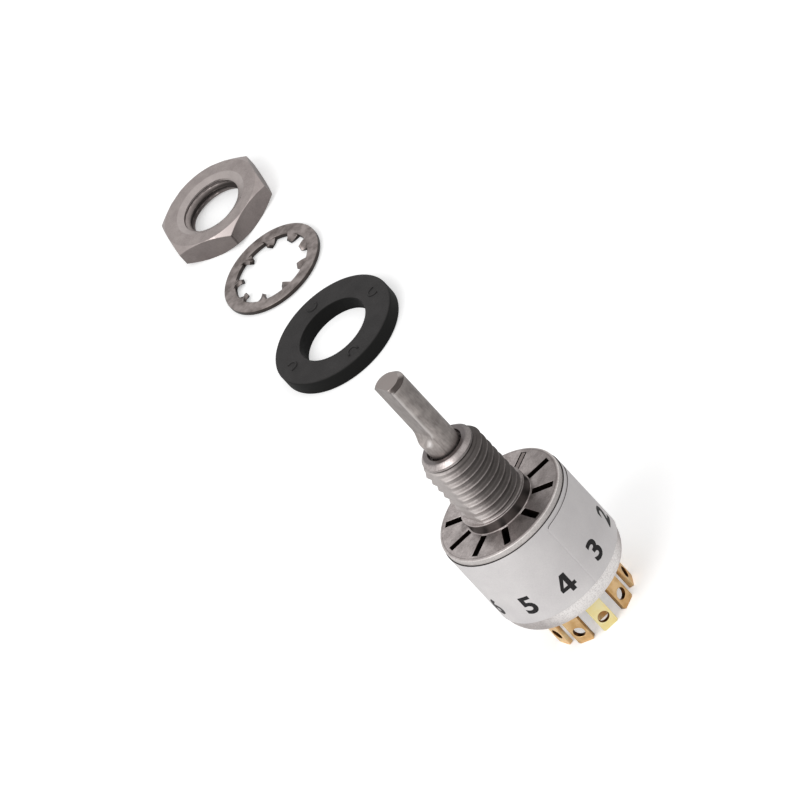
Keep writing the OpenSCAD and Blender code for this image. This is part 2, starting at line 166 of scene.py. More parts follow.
floor_level, floor_reach = cad_box[0][2], 4.0
floor_white, floor_lift = 0.9, 0.42
mirror_near_x, mirror_near, mirror_far_x, mirror_far = 0.004, 0.95, 0.03, 0.55
table = bpy.data.meshes.new("floor")
table.from_pydata([(x, y, floor_level) for x in (-floor_reach, floor_reach)
                   for y in (-floor_reach, floor_reach)], [], [(0, 2, 3, 1)])
floor = placed("floor", table)
paper = bpy.data.materials.new("white_paper")
tree = empty_tree(paper)
ray = add(tree, "ShaderNodeLightPath").outputs
place = add(tree, "ShaderNodeTexCoord").outputs["Object"]
along = add(tree, "ShaderNodeSeparateXYZ", {0: place}).outputs["X"]
mirrored = graded(tree, along, mirror_near_x, mirror_far_x, mirror_near, mirror_far)
white = add(tree, "ShaderNodeMix", {0: ray["Is Glossy Ray"], 2: floor_white, 3: mirrored}).outputs[0]
white = add(tree, "ShaderNodeCombineColor", {0: white, 1: white, 2: white}).outputs[0]
sheet = add(tree, "ShaderNodeBsdfDiffuse", {"Color": white}).outputs[0]
lift = add(tree, "ShaderNodeEmission", {"Color": linear("#FFFFFF"), "Strength": floor_lift}).outputs[0]
lifted = add(tree, "ShaderNodeAddShader", {0: sheet, 1: lift}).outputs[0]
mix = add(tree, "ShaderNodeMixShader", {0: ray["Is Camera Ray"], 1: sheet, 2: lifted})
add(tree, "ShaderNodeOutputMaterial", {"Surface": mix.outputs[0]})
table.materials.append(paper)


# ---------------------------------------------------------------------------------------------
# Housing: the metal case with its collar and threaded bushing, in one piece, slotted, tumbled
# and plated. Its lower edge is rolled in over the base. From here on, sizes are in millimetres.
MM = 0.001
low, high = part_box("housing")
case_r = high.x / MM
nose_top = high.z / MM
rim_bottom = low.z / MM
front_wall = 1.2
chamber_r, shoulder_r, shoulder_z = 5.6, 5.45, -3.0
face_edge_r, face_edge_drop = 6.1, 0.1
collar_r, collar_top = 3.37, 1.1
thread_r, thread_top, thread_pitch = 3.125, 7.75, 0.907
nose_r, nose_bevel, neck_r, neck_height = 2.65, 0.4, 2.52, 0.1
mouth_r, mouth_bottom, bore_r = 1.79, 8.0, 1.6375
flat_out, flat_angle = 2.75, math.radians(-162)
roll_top, roll_in, roll_grip = -8.95, 0.63, 0.4
slot_w, slot_r1, slot_r2, slot_depth, slot_flare = 0.7, 3.49, 5.8, 2.4, 0.03
positions = 10


def rounded(corners, steps=3, hold=0.6):
    """An outline's points. Each corner (r, z, round) is cut in by an arc, with a point held beside it."""
    points = []
    for i, (r, z, radius) in enumerate(corners):
        corner = Vector((r, z))
        if not radius:
            points.append(corner)
            continue
        back = (Vector(corners[i - 1][:2]) - corner).normalized()
        ahead = (Vector(corners[(i + 1) % len(corners)][:2]) - corner).normalized()
        half = back.angle(ahead) / 2
        reach = radius / math.tan(half)
        centre = corner + (back + ahead).normalized() * radius / math.sin(half)
        start, end = corner + back * reach, corner + ahead * reach
        points.append(start + back * hold * radius)
        for k in range(steps + 1):
            spoke = (start - centre).lerp(end - centre, k / steps)
            points.append(centre + spoke.normalized() * radius)
        points.append(end + ahead * hold * radius)
    return points


def lean_in(r, z, lean, height, steps=8):
    """A curve that leaves the vertical at (r, z) and leans in by lean over height."""
    radius = (height ** 2 + lean ** 2) / (2 * lean)
    sweep = math.asin(height / radius)
    return [(r - radius + radius * math.cos(sweep * k / steps),
             z - radius * math.sin(sweep * k / steps), 0) for k in range(steps + 1)]


def turned(rows, angles):
    """Points of a turned shape from rows of (r, z). Either may be an array over the angles."""
    grid = np.zeros((len(rows), len(angles), 3))
    for i, (r, z) in enumerate(rows):
        grid[i, :, 0] = r * np.cos(angles)
        grid[i, :, 1] = r * np.sin(angles)
        grid[i, :, 2] = z
    return grid


def wrapped_faces(rows, columns, closed):
    """The quads of a grid that closes round its columns, and round its rows if closed."""
    j = np.arange(columns)
    k = (j + 1) % columns
    last = rows if closed else rows - 1
    return [face for i in range(last) for face in
            np.stack([i * columns + j, i * columns + k, (i + 1) % rows * columns + k,
                      (i + 1) % rows * columns + j], axis=1).tolist()]


def capped_faces(rows, columns):
    """The faces of a grid that closes round its columns, with a cap on its first and its last row."""
    return wrapped_faces(rows, columns, False) + [list(range(columns)),
                                                  list(range((rows - 1) * columns, rows * columns))]


def piece(name, points, faces):
    """A new mesh object from points in millimetres, closed, smooth and with its faces outwards."""
    mesh = bpy.data.meshes.new(name)
    mesh.from_pydata((np.asarray(points).reshape(-1, 3) * MM).tolist(), [], faces)
    body = bmesh.new()
    body.from_mesh(mesh)
    bmesh.ops.remove_doubles(body, verts=body.verts, dist=1e-8)
    bmesh.ops.recalc_face_normals(body, faces=body.faces)
    body.to_mesh(mesh)
    body.free()
    mesh.shade_smooth()
    return placed(name, mesh)


def lathed(name, rows, angles, centre=(0, 0, 0), closed=True):
    """A turned piece, from rows that form a closed outline, or one that starts and ends on its axis."""
    return piece(name, turned(rows, angles) + tuple(centre), wrapped_faces(len(rows), len(angles), closed))


def mesh_of(thing):
    """The plain mesh that an object, curve or text gives, with its modifiers applied."""
    bpy.context.view_layer.update()
    return bpy.data.meshes.new_from_object(thing.evaluated_get(bpy.context.evaluated_depsgraph_get()))


def finished(thing):
    """Applies the object's modifiers to its mesh and takes them off."""
    mesh = mesh_of(thing)
    thing.modifiers.clear()
    thing.data = mesh


def node_group(name, **sockets):
    """A geometry node group that takes a mesh and these named inputs, and gives a mesh."""
    group = bpy.data.node_groups.new(name, "GeometryNodeTree")
    group.interface.new_socket("Geometry", in_out="INPUT", socket_type="NodeSocketGeometry")
    for label, kind in sockets.items():
        group.interface.new_socket(label, in_out="INPUT", socket_type="NodeSocket" + kind)
    group.interface.new_socket("Geometry", in_out="OUTPUT", socket_type="NodeSocketGeometry")
    return group, group.nodes.new("NodeGroupInput").outputs


def ring_of_copies(group, given):
    """Adds nodes that set Count copies of an object round the Centre, from the angle First on."""
    copy = add(group, "GeometryNodeObjectInfo", {"Object": given["Copy"]}).outputs["Geometry"]
    spots = add(group, "GeometryNodeMeshLine", {"Count": given["Count"], "Offset": (0, 0, 0)}).outputs[0]
    spots = add(group, "GeometryNodeSetPosition", {"Geometry": spots, "Offset": given["Centre"]}).outputs[0]
    number = add(group, "GeometryNodeInputIndex").outputs[0]
    step = add(group, "ShaderNodeMath", {0: math.tau, 1: given["Count"]}, operation="DIVIDE").outputs[0]
    turn = add(group, "ShaderNodeMath", {0: number, 1: step, 2: given["First"]},
               operation="MULTIPLY_ADD").outputs[0]
    turn = add(group, "ShaderNodeCombineXYZ", {"Z": turn}).outputs[0]
    turn = add(group, "FunctionNodeEulerToRotation", {0: turn}).outputs[0]
    ring = add(group, "GeometryNodeInstanceOnPoints", {"Points": spots, "Instance": copy, "Rotation": turn})
    return add(group, "GeometryNodeRealizeInstances", {0: ring.outputs[0]}).outputs[0]


def run_nodes(thing, group, **values):
    """Runs a node group on an object with these inputs, and keeps the plain mesh that it gives."""
    modifier = thing.modifiers.new(group.name, "NODES")
    modifier.node_group = group
    for item in group.interface.items_tree:
        if item.in_out == "INPUT" and item.name in values:
            modifier[item.identifier] = values[item.name]
    finished(thing)


def thread_cut(turn, z, pitch):
    """How deep a 60 degree thread is cut at that turn and height, from 0 at its crest to 1."""
    crest_half, root_half, softness = 1 / 16, 1 / 8, 0.4
    phase = np.mod(z / pitch - turn, 1.0)
    from_crest = np.minimum(phase, 1 - phase)
    ramp = np.clip((from_crest - crest_half) / (1 / 2 - root_half - crest_half), 0, 1)
    return (1 - softness) * ramp + softness * ramp * ramp * (3 - 2 * ramp)


# The columns of points stand closer over the flat that runs down one side of the bushing
column_count, flat_half, flat_step = 240, 34, 0.5
around = np.arange(column_count) * math.tau / column_count
near_flat = flat_angle + np.radians(np.arange(-flat_half, flat_half + 0.1, flat_step))
angles = np.unique(np.round(np.concatenate([around, np.mod(near_flat, math.tau)]), 5))
upper = rounded([(bore_r, -front_wall, 0), (bore_r, mouth_bottom, 0.03), (mouth_r, mouth_bottom, 0.03),
                 (mouth_r, nose_top, 0.07), (nose_r - nose_bevel, nose_top, 0.06),
                 (nose_r, nose_top - nose_bevel, 0.06), (nose_r, thread_top + neck_height, 0.03),
                 (neck_r, thread_top + neck_height, 0), (neck_r, thread_top, 0)])
lower = rounded([(thread_r, collar_top, 0), (collar_r, collar_top, 0.05), (collar_r, 0, 0.05),
                 (face_edge_r, 0, 0.03), (case_r, -face_edge_drop, 0.06)]
                + lean_in(case_r, roll_top, roll_in, -rim_bottom + roll_top)[:-1]
                + [(case_r - roll_in, rim_bottom, 0.12), (chamber_r - roll_grip, rim_bottom, 0.12)]
                + lean_in(chamber_r, roll_top, roll_grip, -rim_bottom + roll_top)[-2::-1]
                + [(chamber_r, shoulder_z, 0.03), (shoulder_r, shoulder_z, 0.03),
                   (shoulder_r, -front_wall, 0)])

# The thread starts at the neck and runs out at the collar. Its grooves are held to open_depth, short of
# the full 0.61343 of a pitch, so that they shade softly
full_depth, open_depth, row_step = 0.61343 * thread_pitch, 0.36, 0.04
start_rise, start_slope, fade_length, flat_wave = 0.05, 1.1, 0.5, 0.025
least_cosine = 0.1
toward_flat = np.cos(angles - flat_angle)
flat_reach = np.where(toward_flat > least_cosine, flat_out / np.maximum(toward_flat, least_cosine), case_r)
thread_rows = []
for z in np.arange(thread_top, collar_top - 0.001, -row_step):
    fade = np.clip((z - collar_top) / fade_length, 0, 1)
    crest = np.minimum(thread_r, neck_r + start_rise + (thread_top - z) * start_slope)
    depth = thread_cut(angles / math.tau, z, thread_pitch)
    cut = thread_r - open_depth * np.tanh(full_depth * depth / open_depth) * fade
    waved = flat_reach - flat_wave * depth
    thread_rows.append((np.minimum(np.minimum(cut, crest), waved), z))
housing = lathed("case_and_bushing", upper + thread_rows + lower, angles)

# One slot as a solid to cut with: straight walls, and a small flare at its mouth for the broken edge
cutter_top = 0.3
levels = [(-slot_depth, 0), (-slot_flare, 0), (0, slot_flare), (cutter_top, slot_flare)]
block = [(r, y, z) for z, grow in levels
         for r, y in ((slot_r1 - grow, -slot_w / 2 - grow), (slot_r2 + grow, -slot_w / 2 - grow),
                      (slot_r2 + grow, slot_w / 2 + grow), (slot_r1 - grow, slot_w / 2 + grow))]
slot_cutter = piece("slot_cutter", block, capped_faces(len(levels), 4))
slot_cutter.data.shade_flat()

group, given = node_group("slots_round_a_face", Copy="Object", Count="Int", First="Float", Centre="Vector",
                          Metal="Material")
ring = ring_of_copies(group, given)
cut = add(group, "GeometryNodeMeshBoolean", {"Mesh 1": given["Geometry"], "Mesh 2": ring},
          operation="DIFFERENCE", solver="EXACT").outputs
crisp = add(group, "GeometryNodeSetShadeSmooth",
            {"Geometry": cut["Mesh"], "Selection": cut["Intersecting Edges"], "Shade Smooth": False},
            domain="EDGE").outputs[0]
plated = add(group, "GeometryNodeSetMaterial", {"Geometry": crisp, "Material": given["Metal"]}).outputs[0]
add(group, "NodeGroupOutput", {"Geometry": plated})


def surface(name, values):
    """A material of one Principled shader. Gives it, its tree, its shader and its place in millimetres."""
    material = bpy.data.materials.new(name)
    tree = empty_tree(material)
    shader = add(tree, "ShaderNodeBsdfPrincipled", values)
    add(tree, "ShaderNodeOutputMaterial", {"Surface": shader.outputs[0]})
    place = add(tree, "ShaderNodeTexCoord").outputs["Object"]
    place = add(tree, "ShaderNodeVectorMath", {0: place, "Scale": 1 / MM}, operation="SCALE").outputs[0]
    return material, tree, shader, place


def noise(tree, place, size, detail=3.0, rough=0.5):
    """Cloudy noise whose broadest patches are about this size, in millimetres."""
    given = {"Vector": place, "Scale": 1 / size, "Detail": detail, "Roughness": rough}
    return add(tree, "ShaderNodeTexNoise", given).outputs[0]


def mottled(tree, place, patch, detail, rough, speck, speck_detail):
    """Cloudy patches with fine specks in them, as one tone. Both sizes are in millimetres."""
    speck_share = 0.35
    clouds = noise(tree, place, patch, detail, rough)
    specks = noise(tree, place, speck, speck_detail)
    return add(tree, "ShaderNodeMix", {0: speck_share, 2: clouds, 3: specks}).outputs[0]


def upright(tree, place, centre=(0, 0)):
    """A place as its offset and its distance from an upright axis at that centre, and its height."""
    offset = add(tree, "ShaderNodeVectorMath", {0: place, 1: (*centre, 0)}, operation="SUBTRACT").outputs[0]
    offset = add(tree, "ShaderNodeVectorMath", {0: offset, 1: (1, 1, 0)}, operation="MULTIPLY").outputs[0]
    out = add(tree, "ShaderNodeVectorMath", {0: offset}, operation="LENGTH").outputs["Value"]
    return offset, out, add(tree, "ShaderNodeSeparateXYZ", {0: place}).outputs["Z"]


def toward(tree, place, angle):
    """How far a place lies from the middle toward that angle round the shaft."""
    direction = (math.cos(angle), math.sin(angle), 0)
    node = add(tree, "ShaderNodeVectorMath", {0: place, 1: direction}, operation="DOT_PRODUCT")
    return node.outputs["Value"]


def between(tree, value, start, end, edge):
    """1 where a value lies between start and end, with edges this soft, and 0 elsewhere."""
    return product(tree, graded(tree, value, start - edge, start + edge),
                   graded(tree, value, end - edge, end + edge, 1.0, 0.0))


def layered(tree, colour, *layers):
    """A colour with others laid over it in turn. Each layer is its colour and the shares it is laid by."""
    for over, *shares in layers:
        mix = add(tree, "ShaderNodeMix", {0: product(tree, *shares), 6: colour, 7: linear(over)},
                  data_type="RGBA")
        colour = mix.outputs[2]
    return colour


def shaded(tree, tone, start, end, dark, light):
    """A colour that goes from dark to light as a tone goes from start to end."""
    return layered(tree, linear(dark), (light, graded(tree, tone, start, end)))


def dressed(tree, shader, colour, relief, strength, depth):
    """Gives a shader its colour, and a relief this strong and this deep in millimetres."""
    tree.links.new(colour, shader.inputs["Base Color"])
    bump = add(tree, "ShaderNodeBump", {"Height": relief, "Strength": strength, "Distance": depth * MM})
    tree.links.new(bump.outputs[0], shader.inputs["Normal"])
    return bump.outputs[0]


# Tumbled nickel plate: a warm mottled grey. Painted shade darkens the thread's grooves, the neck and the top
# of the nose, the collar, the slots, the line over the label, and all of the side toward +X. The face is
# darker in cloudy patches round the collar, and in a line round its edge. Painted light makes the thread pale
# on the side with the bushing's flat. The rim and the rolled edge are frosted, and a painted highlight makes
# the rolled edge palest toward -Y, where it is also least like metal
# Two angles round the axis: toward the side painted with shade, and toward the side of the rolled edge
# painted with a highlight
shade_side_angle, roll_highlight_angle = math.radians(-18), math.radians(-78.5)
rim_top, rim_low, dirt_low = -0.07, -0.62, -0.75
well_outside = 9
case_plate, tree, shader, place = surface("tumbled_nickel", {"Metallic": 1.0, "Roughness": 0.42})
tone = mottled(tree, place, 1.3, 5.0, 0.62, 0.16, 2.0)
grain = noise(tree, place, 0.14)
frost = graded(tree, grain, 0.4, 0.54, 0.7, 1.0)
# Cloudy patches that darken the face round the collar
dark_patches = noise(tree, place, 2.1)
dark_patches = graded(tree, dark_patches, 0.48, 0.66)
_, from_axis, height = upright(tree, place)

on_thread = between(tree, height, collar_top + 0.05, thread_top + 0.05, 0.05)
on_collar = between(tree, height, 0.08, collar_top - 0.08, 0.03)
on_neck = between(tree, height, thread_top - 0.03, thread_top + neck_height, 0.02)
on_nose = between(tree, height, thread_top + neck_height, nose_top + 1, 0.03)
on_bushing = between(tree, height, 0.1, nose_top + 1, 0.05)
on_face = between(tree, height, -0.05, 0.05, 0.03)
on_rim = between(tree, height, rim_low, rim_top, 0.03)
# Painted shade along the line over the label
over_label = between(tree, height, dirt_low, rim_low, 0.01)
# Painted shade on the walls of the slots, below the face
below_face = between(tree, height, shoulder_z, -0.04, 0.02)
on_roll = between(tree, height, rim_bottom - 1, roll_top + 0.1, 0.06)
nose_ring = between(tree, from_axis, 0, nose_r - nose_bevel + 0.05, 0.08)
among_slots = between(tree, from_axis, 1.9, slot_r2 + 0.05, 0.02)
face_edge = between(tree, from_axis, face_edge_r - 0.04, face_edge_r + 0.03, 0.02)
outermost = between(tree, from_axis, face_edge_r, well_outside, 0.05)

to_flat, toward_shade_side = toward(tree, place, flat_angle), toward(tree, place, shade_side_angle)
# Painted light on the thread by the flat, and how much of the painted shade in the grooves stays there
painted_flat_light = graded(tree, to_flat, 1.5, 2.6, 0.0, 0.6)
away_from_flat_light = graded(tree, to_flat, 1.2, 2.5, 1.0, 0.2)
# Painted shade on the side toward +X, on the bushing and further out on the face
painted_side_shade = graded(tree, toward_shade_side, 0.2, 2.4, 0.0, 0.52)
painted_face_shade = graded(tree, toward_shade_side, 2.6, 4.6, 0.0, 0.55)
# Painted shade in the thread's grooves, below the crests
below_crest = graded(tree, from_axis, 3.1, 3.123, 1.0, 0.1)
near_collar = graded(tree, from_axis, 3.5, 5.6, 0.8, 0.1)
# A painted highlight on the rolled edge, toward -Y
roll_highlight = graded(tree, toward(tree, place, roll_highlight_angle), 3.6, 5.4, 0.3, 1.0)
pale_roll = product(tree, on_roll, roll_highlight)

# Painted shade lies on the collar, the neck and the top of the nose
colour = layered(tree, shaded(tree, tone, 0.34, 0.62, "#8C8482", "#BCB4B2"),
                 ("#DDD7D4", on_thread, painted_flat_light),
                 ("#625D5B", on_thread, below_crest, away_from_flat_light, 0.95),
                 ("#524D4B", on_collar, 0.9),
                 ("#35312F", on_neck, 0.8),
                 ("#3A3634", on_bushing, painted_side_shade),
                 ("#645E5E", on_nose, nose_ring, 0.85),
                 ("#5E5856", dark_patches, near_collar, on_face),
                 ("#665F5D", painted_face_shade, on_face),
                 ("#5E5856", face_edge, on_face, 0.6),
                 ("#3B3534", over_label, 0.85),
                 ("#3A302B", below_face, among_slots),
                 ("#FBF7F5", pale_roll, frost),
                 ("#E4DFDC", on_rim, outermost, frost, 0.75))
metal = add(tree, "ShaderNodeMath", {0: pale_roll, 1: -0.8, 2: 1.0}, operation="MULTIPLY_ADD").outputs[0]
tree.links.new(metal, shader.inputs["Metallic"])
rough = graded(tree, tone, 0.3, 0.7, 0.52, 0.38)
for zone, more in ((on_roll, 0.15), (on_nose, -0.07), (on_thread, 0.14)):
    rough = add(tree, "ShaderNodeMath", {0: zone, 1: more, 2: rough}, operation="MULTIPLY_ADD").outputs[0]
tree.links.new(rough, shader.inputs["Roughness"])
tumbled = dressed(tree, shader, colour, tone, 0.5, 0.02)
frosted = product(tree, on_roll, 0.6)
frosted = add(tree, "ShaderNodeBump", {"Height": grain, "Strength": frosted, "Distance": 0.04 * MM,
                                       "Normal": tumbled}).outputs[0]
tree.links.new(frosted, shader.inputs["Normal"])

run_nodes(housing, group, Copy=slot_cutter, Count=positions, Metal=case_plate)
bpy.data.objects.remove(slot_cutter)
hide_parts("housing")
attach(housing, "root")


# ---------------------------------------------------------------------------------------------
# Stop blade: a piece of blanked steel strip dropped into the slot between positions 10 and 1. Its
# edges are lightly rounded by the blanking.
low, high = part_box("stop_blade")
blade_angle = math.radians(36)
blade_w, blade_clear, blade_edge = 0.44, 0.05, 0.04
blade_top, blade_bottom = high.z / MM, low.z / MM
blade_outline = [(-blade_w / 2, slot_r1 + blade_clear), (blade_w / 2, slot_r1 + blade_clear),
                 (blade_w / 2, slot_r2 - blade_clear), (-blade_w / 2, slot_r2 - blade_clear)]
strip = bmesh.new()
corners = [strip.verts.new(Vector((r, y, blade_bottom)) * MM) for y, r in blade_outline]
strip.faces.new(corners)
lifted = bmesh.ops.extrude_face_region(strip, geom=list(strip.faces))["geom"]
bmesh.ops.translate(strip, verts=[v for v in lifted if isinstance(v, bmesh.types.BMVert)],
                    vec=(0, 0, (blade_top - blade_bottom) * MM))
bmesh.ops.bevel(strip, geom=list(strip.edges), offset=blade_edge * MM, segments=2, affect="EDGES",
                profile=0.5)
bmesh.ops.rotate(strip, verts=strip.verts, matrix=Matrix.Rotation(blade_angle, 3, "Z"))
bmesh.ops.recalc_face_normals(strip, faces=strip.faces)
blade_mesh = bpy.data.meshes.new("stop_blade_strip")
strip.to_mesh(blade_mesh)
strip.free()
blade = placed("stop_blade_strip", blade_mesh)


def facing_up(tree):
    """How far the surface faces up: 1 on top, 0 on a wall, -1 below."""
    normal = add(tree, "ShaderNodeNewGeometry").outputs["Normal"]
    return add(tree, "ShaderNodeSeparateXYZ", {0: normal}).outputs["Z"]


# Blanked steel strip: an uneven grey on top, with painted shade that makes its sides near black
blade_steel, tree, shader, place = surface("blanked_steel_strip", {"Metallic": 1.0, "Roughness": 0.4})
shear = noise(tree, place, 0.3)
# Painted shade on the sides
on_side = graded(tree, facing_up(tree), 0.6, 0.98, 0.95, 0.0)
colour = layered(tree, shaded(tree, shear, 0, 1, "#5F5654", "#948B88"), ("#1E1A18", on_side))
tree.links.new(colour, shader.inputs["Base Color"])
blade_mesh.materials.append(blade_steel)
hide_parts("stop_blade")
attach(blade, "root")


# ---------------------------------------------------------------------------------------------
# Label: a printed polyester film wrapped once round the case, with its end lapped over its start.
# The numbers of the positions stand round it, one for each terminal.
low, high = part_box("label_wrap")
label_r1, film = 6.37, 0.08
label_r2 = label_r1 + film
label_top, label_bottom = high.z / MM, low.z / MM
label_angles = np.radians(np.arange(0, 360, 1.5))
wrap_rows = rounded([(label_r1, label_bottom, 0), (label_r2, label_bottom, 0.015),
                     (label_r2, label_top, 0.015), (label_r1, label_top, 0)], hold=1.0)
label = lathed("printed_label", wrap_rows, label_angles)

# The lapping end: its free edge has a rounded corner and is pressed down thin, and at its far side it
# comes down to the first layer
lap_start, lap_arc, lap_top, lap_corner = -76, 75, label_top - 0.5, 0.42
lap_sink, lap_foot, press_share, press_length, settle_length = 0.005, 0.02, 0.6, 0.06, 1.2
lap_angles = np.radians(lap_start + lap_arc * np.linspace(0, 1, 90) ** 1.3)
along = (lap_angles - lap_angles[0]) * label_r2
corner_drop = np.where(along < lap_corner,
                       lap_corner - np.sqrt(np.maximum(0, lap_corner ** 2 - (lap_corner - along) ** 2)), 0)
tops = lap_top - corner_drop
lift = film * (1 - press_share * np.exp(-along / press_length))
lift *= np.clip((along[-1] - along) / settle_length, 0.05, 1)
foot = label_bottom + lap_foot
lap_rows = [(np.full_like(along, label_r2 - lap_sink), foot + (tops - foot) * t) for t in (0.0, 0.5, 1.0)]
lap_rows += [(label_r2 + lift, z) for _, z in lap_rows[::-1]]
grid = turned(lap_rows, lap_angles)
count, columns = grid.shape[:2]
lap_faces = [face for face in wrapped_faces(count, columns, True)
             if abs(face[0] % columns - face[1] % columns) == 1]
lap_faces += [[i * columns for i in range(count)], [i * columns + columns - 1 for i in range(count)]]
lap = piece("label_lap", grid, lap_faces)
lap.data.set_sharp_from_angle(angle=math.radians(40))

# Satin polyester film: a cool light grey, with painted shade that greys it toward +X and less so at its foot,
# and a fine grain drawn coarse enough to show. A dark painted shadow line shows at its cut top edge
film_satin, tree, shader, place = surface("satin_polyester_film", {"Roughness": 0.48, "IOR": 1.5})
tone = mottled(tree, place, 2.4, 4.0, 0.5, 0.12, 1.0)
# Painted shade that greys the film toward +X
painted_film_shade = toward(tree, place, 0)
painted_film_shade = graded(tree, painted_film_shade, -4, 2.5, 0.0, 0.42)
height = upright(tree, place)[2]
off_foot = graded(tree, height, -8.8, -6.2, 0.35, 1.0)
colour = layered(tree, shaded(tree, tone, 0.3, 0.7, "#D5D1D1", "#E5E1E0"), ("#A9A5A6", painted_film_shade, off_foot))
dressed(tree, shader, colour, tone, 0.3, 0.006)
# The cut top edge is painted dark, as a shadow line
shadow_line_edge = surface("painted_shadow_on_cut_edge", {"Roughness": 0.7, "Base Color": linear("#3B3534")})[0]
for film_piece in (label, lap):
    film_piece.data.materials.append(film_satin)
    film_piece.data.materials.append(shadow_line_edge)
    for face in film_piece.data.polygons:
        face.material_index = 1 if face.normal.z > 0.6 else 0
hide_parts("label_wrap")
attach(label, "root")
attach(lap, "root")

# The numbers: black screen print that stands a few thousandths of a millimetre proud of the film. Each
# is cut in slices across, so that it can bend round the case
number_height, number_middle, number_shift = 2.2, -6.66, -3.9
print_thick, slice_width, digit_gap, print_weight = 0.012, 0.12, 0.25, 0.03
drawn_digits = {"1": [[(0.17, 0), (0.37, 0), (0.37, 1), (0.24, 1), (0.19, 0.9), (0.1, 0.84), (0, 0.82),
                       (0, 0.68), (0.17, 0.7)]],
                "4": [[(0.4, 1), (0.64, 1), (0.64, 0.38), (0.78, 0.38), (0.78, 0.2), (0.64, 0.2), (0.64, 0),
                       (0.43, 0), (0.43, 0.2), (0.06, 0.2), (0.06, 0.38)],
                      [(0.43, 0.38), (0.43, 0.72), (0.22, 0.38)]]}
print_ink, tree, shader, place = surface("screen_print_ink", {"Roughness": 0.5, "Specular IOR Level": 0.2})
thin = noise(tree, place, 0.2, 2.0)
tree.links.new(shaded(tree, thin, 0, 1, "#171516", "#2B292A"), shader.inputs["Base Color"])


def outline_curve(outlines):
    """A flat filled curve of these closed outlines. One that lies inside another is a hole."""
    curve = bpy.data.curves.new("outline", "CURVE")
    curve.dimensions = "2D"
    curve.fill_mode = "BOTH"
    for outline in outlines:
        spline = curve.splines.new("POLY")
        spline.points.add(len(outline) - 1)
        for point, (x, y) in zip(spline.points, outline):
            point.co = (x, y, 0, 1)
        spline.use_cyclic_u = True
    return curve


def curve_mesh(curve):
    """The mesh that a curve or text gives."""
    holder = placed("curve", curve)
    mesh = mesh_of(holder)
    bpy.data.objects.remove(holder)
    return mesh


def digit_mesh(digit):
    """A flat digit as tall as the print, with its left edge on x = 0 and its foot on y = 0."""
    if digit in drawn_digits:
        curve = outline_curve(drawn_digits[digit])
    else:
        curve = bpy.data.curves.new("digit", "FONT")
        curve.body = digit
        curve.offset = print_weight
        curve.resolution_u = 4
    curve.extrude = 0.01
    mesh = curve_mesh(curve)
    low = Vector([min(v.co[k] for v in mesh.vertices) for k in range(3)])
    high = Vector([max(v.co[k] for v in mesh.vertices) for k in range(3)])
    size = number_height / (high.y - low.y)
    mesh.transform(Matrix.Translation(-low))
    mesh.transform(Matrix.Diagonal((size, size, print_thick / (high.z - low.z), 1)))
    return mesh, (high.x - low.x) * size


for n in range(1, positions + 1):
    word = bmesh.new()
    width = -digit_gap
    for digit in str(n):
        mesh, step = digit_mesh(digit)
        mesh.transform(Matrix.Translation((width + digit_gap, 0, 0)))
        word.from_mesh(mesh)
        width += digit_gap + step
    bmesh.ops.remove_doubles(word, verts=word.verts, dist=1e-5)
    for x in np.arange(slice_width, width, slice_width):
        bmesh.ops.bisect_plane(word, geom=list(word.verts) + list(word.edges) + list(word.faces),
                               plane_co=(x, 0, 0), plane_no=(1, 0, 0))
    degrees = -90 + (4 - n) * 360 / positions + number_shift
    on_lap = lap_start < degrees < lap_start + lap_arc
    ground = label_r2 + (film if on_lap else 0) - print_thick / 2
    for v in word.verts:
        turn = math.radians(degrees) + (v.co.x - width / 2) / ground
        out, up = ground + v.co.z, number_middle + v.co.y - number_height / 2
        v.co = Vector((out * math.cos(turn), out * math.sin(turn), up)) * MM
    bmesh.ops.recalc_face_normals(word, faces=word.faces)
    mesh = bpy.data.meshes.new("number_%d" % n)
    word.to_mesh(mesh)
    word.free()
    mesh.materials.append(print_ink)
    number = placed("number_%d" % n, mesh)
    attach(number, "root")


# ---------------------------------------------------------------------------------------------
# Shaft: a stainless bar, ground round, with a flat milled down from its tip. The cutter leaves a
# scooped end to the flat. Below it are a seal groove, a clip groove and two flats for the rotor.
low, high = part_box("shaft")
shaft_r = high.x / MM
shaft_top, shaft_bottom = high.z / MM, low.z / MM
tip_bevel, flat_depth, flat_length, cutter_r, cutter_reach = 0.4, 0.7625, 6.15, 1.28, 3.0
seal_low, seal_high, seal_groove_r = 3.0, 3.44, 1.2075
clip_low, clip_high, clip_groove_r = -1.9, -1.5, 1.1875
drive_half = 1.2
shaft_outline = rounded([
    (0, shaft_bottom, 0), (shaft_r, shaft_bottom, 0.08), (shaft_r, clip_low, 0.03),
    (clip_groove_r, clip_low, 0), (clip_groove_r, clip_high, 0), (shaft_r, clip_high, 0.03),
    (shaft_r, seal_low, 0.03), (seal_groove_r, seal_low, 0), (seal_groove_r, seal_high, 0),
    (shaft_r, seal_high, 0.03), (shaft_r, shaft_top - tip_bevel, 0.05),
    (shaft_r - tip_bevel, shaft_top, 0.05), (0, shaft_top, 0)], hold=0.9)
shaft = lathed("ground_shaft", shaft_outline, np.arange(96) * math.tau / 96, closed=False)


def cut_away(thing, name, outline, angle):
    """Cuts from a thing the prism of an outline (out, z), drawn facing that angle round the axis."""
    points = [(x, y, z) for y in (-cutter_reach, cutter_reach) for x, z in outline]
    cutter = piece(name, points, capped_faces(2, len(outline)))
    cutter.data.transform(Matrix.Rotation(angle, 4, "Z"))
    cutter.data.shade_flat()
    modifier = thing.modifiers.new(name, "BOOLEAN")
    modifier.object = cutter
    modifier.solver = "EXACT"
    finished(thing)
    bpy.data.objects.remove(cutter)


